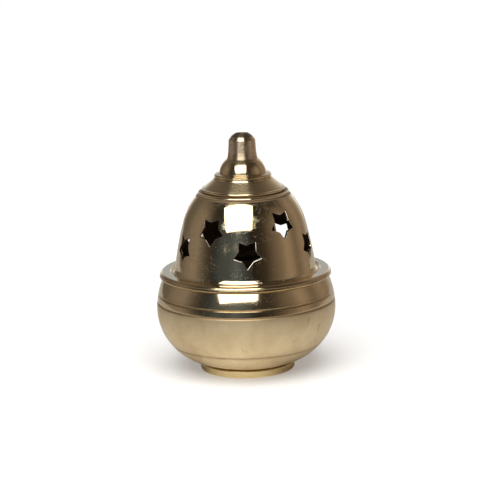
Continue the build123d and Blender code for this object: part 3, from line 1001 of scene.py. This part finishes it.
def floor_cloth():
    """Pale cloth. The camera sees an even one, and the brass mirrors one that darkens to both sides with
    painted shade and has a painted pool of light in front of the foot.
    """
    material, nt, bsdf = new_material("floor_cloth")
    bsdf.inputs["Roughness"].default_value = 0.9
    bsdf.inputs["Specular IOR Level"].default_value = 0.0
    bsdf.inputs["Emission Color"].default_value = (1.0, 1.0, 1.0, 1.0)
    seen = node(nt, "ShaderNodeLightPath").outputs["Is Camera Ray"]
    point = node(nt, "ShaderNodeTexCoord").outputs["Object"]
    x = node(nt, "ShaderNodeSeparateXYZ", {0: point}).outputs[0]
    away = node(nt, "ShaderNodeVectorMath", {0: point, 1: PAINTED_POOL_CENTRE}, operation="DISTANCE").outputs["Value"]
    # painted light: a pool glowing in front of the foot, for all but camera rays
    painted_pool = scaled(nt, away, PAINTED_POOL_FROM, PAINTED_POOL_TO, PAINTED_POOL_MIRRORED, 0.0)
    nt.links.new(mixed_value(nt, seen, painted_pool, GLOW_SEEN), bsdf.inputs["Emission Strength"])
    # painted shade: the cloth the brass mirrors darkens to both sides
    side_shade = scaled(nt, maths(nt, "ABSOLUTE", x), ASIDE_FROM, ASIDE_TO)
    weave = scaled(nt, noise(nt, point, 1400.0, 3.0, 0.7), 0.3, 0.7)
    mirrored = mixed(nt, side_shade, CLOTH_NEAR, CLOTH_SHADED_ASIDE)
    cloth = mixed(nt, weave, CLOTH_DARK, CLOTH_LIGHT)
    nt.links.new(mixed(nt, seen, mirrored, cloth), bsdf.inputs["Base Color"])
    return material


def make_floor():
    mesh = bpy.data.meshes.new("floor")
    front = [(-FLOOR_SIDE, FLOOR_FRONT, 0), (FLOOR_SIDE, FLOOR_FRONT, 0)]
    back = [(FLOOR_SIDE, FLOOR_BACK, 0), (-FLOOR_SIDE, FLOOR_BACK, 0)]
    mesh.from_pydata(front + back, [], [(0, 1, 2, 3)])
    mesh.materials.append(floor_cloth())
    add_object("floor", mesh)


make_floor()

# ---------------------------------------------------------------- studio
# The camera sees white, and the brass mirrors a room.
GREY = (1.0, 0.875, 0.80)
COOL = (0.80, 1.0, 1.27)
BROWN = (1.0, 0.81, 0.69)
WHITE = (1.0, 1.0, 1.0)
PANEL = (0.44, 0.495, 0.575)  # a blue-grey panel behind the object
WALL_TOP, CEILING_LOW = 26, 46  # the wall gives way to the ceiling between these elevations, in degrees
PANEL_SIDES = (150, 165)  # azimuths, to either side, between which the panel comes in
PANEL_BOTTOM, PANEL_TOP = (5, 9), (30, 26)  # elevations between which its lower and upper edges come in
# azimuth in degrees, brightness, tint
WALL = [
    (-180, 1.05, WHITE), (-164, 1.0, WHITE), (-156, 0.28, GREY), (-144, 0.13, GREY), (-127, 0.15, GREY),
    (-112, 0.22, GREY), (-92, 0.25, GREY), (-82, 0.17, GREY), (-72, 0.09, GREY), (-62, 0.042, GREY),
    (-51, 0.045, COOL), (-44, 0.075, COOL), (-28, 0.085, COOL), (-14, 0.135, COOL), (3, 0.06, COOL),
    (13, 0.022, GREY), (27, 0.035, BROWN), (34, 0.045, BROWN), (40, 0.073, BROWN), (54, 0.15, BROWN),
    (66, 0.215, BROWN), (78, 0.32, BROWN), (88, 0.27, BROWN), (94, 0.20, BROWN), (101, 0.18, BROWN),
    (111, 0.25, BROWN), (120, 0.29, BROWN), (134, 0.24, BROWN), (142, 0.30, GREY), (150, 0.44, GREY),
    (160, 0.95, WHITE), (180, 1.05, WHITE),
]
CEILING = [
    (-180, 0.12, GREY), (-150, 0.10, GREY), (-122, 0.14, GREY), (-95, 0.08, GREY), (-70, 0.035, GREY),
    (-50, 0.028, GREY), (15, 0.022, GREY), (60, 0.05, BROWN), (100, 0.055, BROWN), (140, 0.22, GREY),
    (165, 0.12, GREY), (180, 0.12, GREY),
]


def azimuth_ramp(nt, azimuth, stops):
    """Colours round the room. azimuth is a share of a turn, 0.5 at the front."""
    ramp_node = node(nt, "ShaderNodeValToRGB", {0: azimuth})
    elements = ramp_node.color_ramp.elements
    while len(elements) > 1:
        elements.remove(elements[-1])
    for i, (at, brightness, tint) in enumerate(stops):
        position = at / 360 + 0.5
        element = elements.new(position) if i else elements[0]
        element.position = position
        element.color = (*(brightness * t for t in tint), 1.0)
    return ramp_node.outputs[0]


def make_studio():
    world = bpy.data.worlds.new("studio")
    bpy.context.scene.world = world
    world.use_nodes = True
    nt = world.node_tree
    background = nt.nodes["Background"]
    direction = node(nt, "ShaderNodeTexCoord").outputs["Generated"]
    x, y, z = node(nt, "ShaderNodeSeparateXYZ", {0: direction}).outputs
    turn = maths(nt, "ARCTAN2", x, times(nt, y, -1.0))
    azimuth = maths(nt, "ADD", maths(nt, "DIVIDE", turn, tau), 0.5)
    elevation = maths(nt, "DIVIDE", maths(nt, "ARCSINE", z), pi)  # half a turn is 1

    up = scaled(nt, elevation, WALL_TOP / 180, CEILING_LOW / 180)
    room = mixed(nt, up, azimuth_ramp(nt, azimuth, WALL), azimuth_ramp(nt, azimuth, CEILING))
    from_front = maths(nt, "ABSOLUTE", maths(nt, "SUBTRACT", azimuth, 0.5))
    panel = scaled(nt, from_front, *(a / 360 for a in PANEL_SIDES))
    for edge in (PANEL_BOTTOM, PANEL_TOP):
        panel = times(nt, panel, scaled(nt, elevation, *(e / 180 for e in edge)))
    room = mixed(nt, panel, room, PANEL)
    seen = node(nt, "ShaderNodeLightPath").outputs["Is Camera Ray"]
    nt.links.new(mixed(nt, seen, room, WHITE), background.inputs["Color"])
    background.inputs["Strength"].default_value = 1.0


make_studio()

# ---------------------------------------------------------------- lights
SOFTBOX_AZIMUTH, SOFTBOX_ELEVATION, SOFTBOX_DISTANCE = -13.5, 43.2, 0.8
SOFTBOX_WIDTH, SOFTBOX_HEIGHT, SOFTBOX_ROLL = 0.72, 0.605, 8
SOFTBOX_TARGET = Vector((0, 0, 0.06))
SOFTBOX_POWER = 6.5
SUN_POWER, SUN_SPREAD = 2.85, 60
SUN_DIRECTION = Vector((-0.07, -0.5, 1.0))


def make_softbox():
    """The bright window in the dome, which lights nothing but what mirrors it."""
    data = bpy.data.lights.new("softbox", "AREA")
    data.shape = "RECTANGLE"
    data.size, data.size_y = SOFTBOX_WIDTH, SOFTBOX_HEIGHT
    data.energy = SOFTBOX_POWER
    softbox = add_object("softbox", data)
    a, e = radians(SOFTBOX_AZIMUTH), radians(SOFTBOX_ELEVATION)
    away = Vector((sin(a) * cos(e), -cos(a) * cos(e), sin(e)))
    roll = Quaternion((0, 0, 1), radians(SOFTBOX_ROLL))
    softbox.location = SOFTBOX_TARGET + away * SOFTBOX_DISTANCE
    softbox.rotation_euler = (away.to_track_quat("Z", "Y") @ roll).to_euler()
    softbox.visible_camera = False
    softbox.visible_diffuse = False


def make_overhead():
    """An even overhead light for the floor, which the brass doesn't mirror."""
    data = bpy.data.lights.new("overhead", "SUN")
    data.energy = SUN_POWER
    data.angle = radians(SUN_SPREAD)
    overhead = add_object("overhead", data)
    overhead.rotation_euler = SUN_DIRECTION.to_track_quat("Z", "Y").to_euler()
    overhead.visible_glossy = False


make_softbox()
make_overhead()

# ---------------------------------------------------------------- camera
SENSOR, LENS = 36.0, 146.88  # millimetres
CAMERA = Vector((0.0, -0.850, 0.235))
CAMERA_TARGET = Vector((0.002203, 0.0, 0.051037))
CAMERA_ROLL = -1.5


def make_camera():
    data = bpy.data.cameras.new("camera")
    data.sensor_width = SENSOR
    data.lens = LENS
    camera = add_object("camera", data)
    camera.location = CAMERA
    camera.rotation_mode = "QUATERNION"
    roll = Quaternion((0, 0, 1), radians(CAMERA_ROLL))
    camera.rotation_quaternion = (CAMERA_TARGET - CAMERA).to_track_quat("-Z", "Y") @ roll
    bpy.context.scene.camera = camera


make_camera()
bpy.context.scene.view_settings.view_transform = "Standard"
